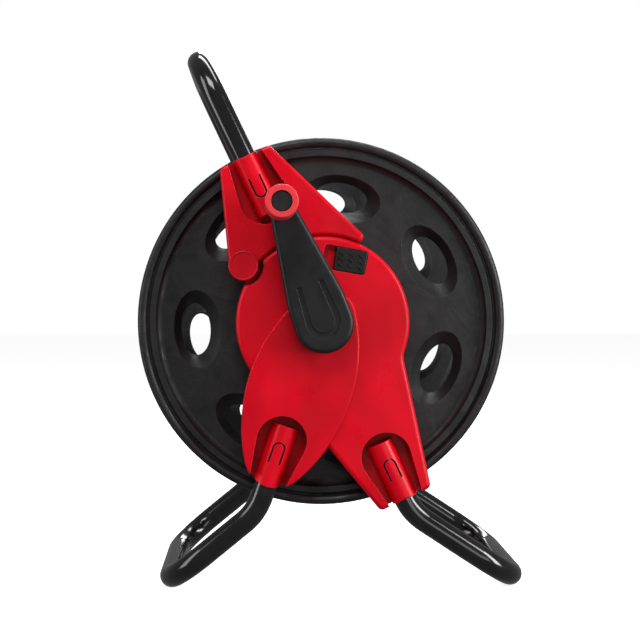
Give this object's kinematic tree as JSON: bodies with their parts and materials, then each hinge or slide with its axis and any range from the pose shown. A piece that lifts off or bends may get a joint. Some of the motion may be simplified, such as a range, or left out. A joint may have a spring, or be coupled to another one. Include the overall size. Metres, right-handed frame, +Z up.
{
  "type": "hose reel",
  "caption": "Free-standing garden hose reel on bent tube feet, with a crank-driven winding drum and a fold-down carrying handle.",
  "frame": {"origin": "centre of the footprint of the whole object, on the floor", "axes": "+X to the right of someone facing the crank, +Y away from them along the drum axle, +Z up"},
  "size_m": [0.4244, 0.448, 0.5899],
  "materials": {
    "red_shell": "moulded, semi-gloss",
    "red_grip": "moulded, satin",
    "black_tube": "gloss powder coat",
    "black_drum": "moulded, satin",
    "black_crank": "moulded, fine matte",
    "black_latch": "moulded, matte",
    "bright_steel": "zinc plated",
    "pale_bearing": "natural acetal",
    "grey_fitting": "moulded, satin",
    "seal_rubber": "smooth rubber"
  },
  "bodies": {
    "frame": {"front_side_plate": "red_shell", "rear_side_plate": "red_shell", "front_left_leg_plate": "red_shell", "rear_left_leg_plate": "red_shell", "left_foot_tube": "black_tube", "right_foot_tube": "black_tube", "leg_plate_rivets": "bright_steel", "front_hinge_pin": "bright_steel", "rear_hinge_pin": "bright_steel", "front_axle_bush": "pale_bearing", "rear_axle_bush": "pale_bearing", "water_inlet": "grey_fitting", "inlet_seals": "seal_rubber", "inlet_screws": "bright_steel", "front_latch_spring": "bright_steel", "rear_latch_spring": "bright_steel"},
    "handle": {"handle_tube": "black_tube", "front_handle_arm": "red_shell", "rear_handle_arm": "red_shell", "front_hinge_knob": "red_shell", "rear_hinge_knob": "red_shell"},
    "drum": {"front_disc": "black_drum", "rear_disc": "black_drum", "drum_barrel": "black_drum", "drum_screws": "bright_steel", "drum_axle": "black_drum", "hose_outlet": "grey_fitting", "crank_arm": "black_crank", "crank_screw": "bright_steel", "grip_spindle": "black_crank"},
    "grip": {"grip_sleeve": "red_grip"},
    "front_latch": {"front_latch_slider": "black_latch", "front_latch_bolt": "black_latch"},
    "rear_latch": {"rear_latch_slider": "black_latch", "rear_latch_bolt": "black_latch"}
  },
  "joints": [
    {"name": "handle_fold", "type": "hinge", "parent": "frame", "child": "handle", "pos_m": [-0.09695, 0.0385, 0.35486], "axis": [0, -1, 0], "range_deg": [0, 120]},
    {"name": "drum_spin", "type": "hinge", "parent": "frame", "child": "drum", "pos_m": [-0.01225, 0.0385, 0.294], "axis": [0, 1, 0], "continuous": true},
    {"name": "grip_spin", "type": "hinge", "parent": "drum", "child": "grip", "pos_m": [-0.05761, -0.1795, 0.41796], "axis": [0, 1, 0], "continuous": true},
    {"name": "front_latch_slide", "type": "slide", "parent": "frame", "child": "front_latch", "axis": [-0.9848, 0, 0.1736], "range_m": [0, 0.012], "stiffness_N_per_m": 150, "springref_m": -0.004, "deforming": ["front_latch_spring"]},
    {"name": "rear_latch_slide", "type": "slide", "parent": "frame", "child": "rear_latch", "axis": [-0.9848, 0, 0.1736], "range_m": [0, 0.012], "stiffness_N_per_m": 150, "springref_m": -0.004, "deforming": ["rear_latch_spring"]}
  ]
}
